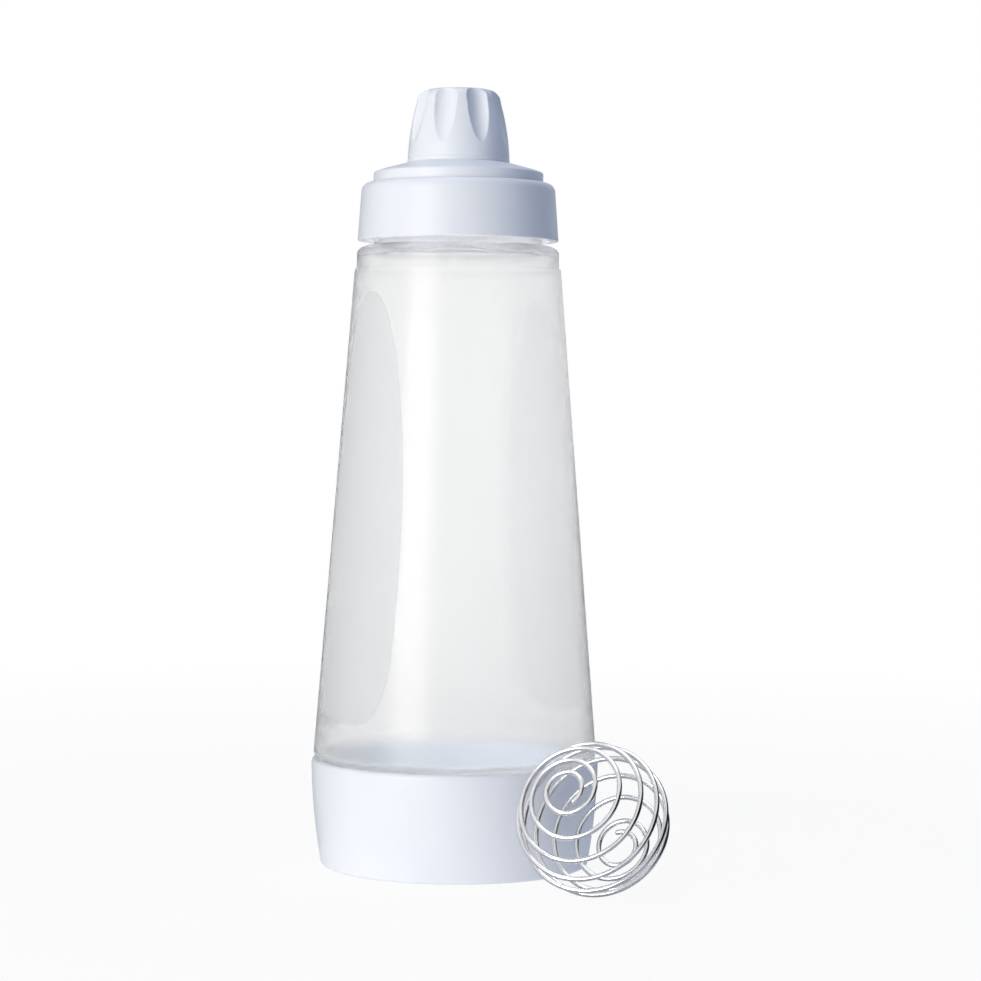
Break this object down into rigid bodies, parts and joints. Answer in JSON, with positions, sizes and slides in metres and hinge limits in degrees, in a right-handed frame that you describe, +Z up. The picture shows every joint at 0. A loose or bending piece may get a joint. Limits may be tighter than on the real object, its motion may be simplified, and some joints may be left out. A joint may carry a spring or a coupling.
{
  "type": "batter dispenser",
  "caption": "Tapered squeeze bottle for mixing and pouring batter, with a screw-on base cup, a spout held by a screw collar, a fluted screw cap and a loose wire whisk ball.",
  "frame": {"origin": "centre of the base cup's flat bottom, on the floor", "axes": "+Z up along the bottle's axis, +X through one of the two grip recesses; the loose whisk ball stands on the -Y side"},
  "size_m": [0.1036, 0.1593, 0.28],
  "materials": {
    "white_plastic": "satin white moulded plastic with a faint blue cast",
    "frosted_plastic": "frosted translucent natural plastic",
    "silicone": "matt translucent white silicone",
    "steel_wire": "polished stainless wire"
  },
  "bodies": {
    "base": {"base_cap": "white_plastic"},
    "base_seal": {"base_gasket": "silicone"},
    "bottle": {"bottle": "frosted_plastic"},
    "spout": {"spout": "white_plastic", "nozzle_valve": "silicone", "valve_retainer": "white_plastic", "neck_gasket": "silicone"},
    "collar": {"collar": "white_plastic"},
    "cap_seal": {"cap_liner": "silicone"},
    "cap": {"cap": "white_plastic"},
    "whisk": {"whisk_ball": "steel_wire"}
  },
  "joints": [
    {"name": "bottle_turn", "type": "hinge", "parent": "base", "child": "base_seal", "pos_m": [0, 0, 0.0175], "axis": [0, 0, 1], "range_deg": [0, 1260]},
    {"name": "bottle_rise", "type": "slide", "parent": "base_seal", "child": "bottle", "axis": [0, 0, 1], "range_m": [0, 0.021]},
    {"name": "spout_rise", "type": "slide", "parent": "bottle", "child": "spout", "axis": [0, 0, 1], "range_m": [0, 0.0175]},
    {"name": "collar_turn", "type": "hinge", "parent": "spout", "child": "collar", "pos_m": [0, 0, 0.236], "axis": [0, 0, 1], "range_deg": [0, 1260]},
    {"name": "cap_rise", "type": "slide", "parent": "spout", "child": "cap_seal", "axis": [0, 0, 1], "range_m": [0, 0.024]},
    {"name": "cap_turn", "type": "hinge", "parent": "cap_seal", "child": "cap", "pos_m": [0, 0, 0.26], "axis": [0, 0, 1], "range_deg": [0, 1080]},
    {"name": "whisk_roll", "type": "slide", "parent": "base", "child": "whisk", "axis": [-0.0227, -0.9997, 0], "range_m": [0, 0.12]}
  ],
  "couplings": [
    {"joint": "bottle_rise", "follows": "bottle_turn", "m_per_rad": 0.00095493},
    {"joint": "spout_rise", "follows": "collar_turn", "m_per_rad": 0.00079577},
    {"joint": "cap_rise", "follows": "cap_turn", "m_per_rad": 0.0012732}
  ]
}
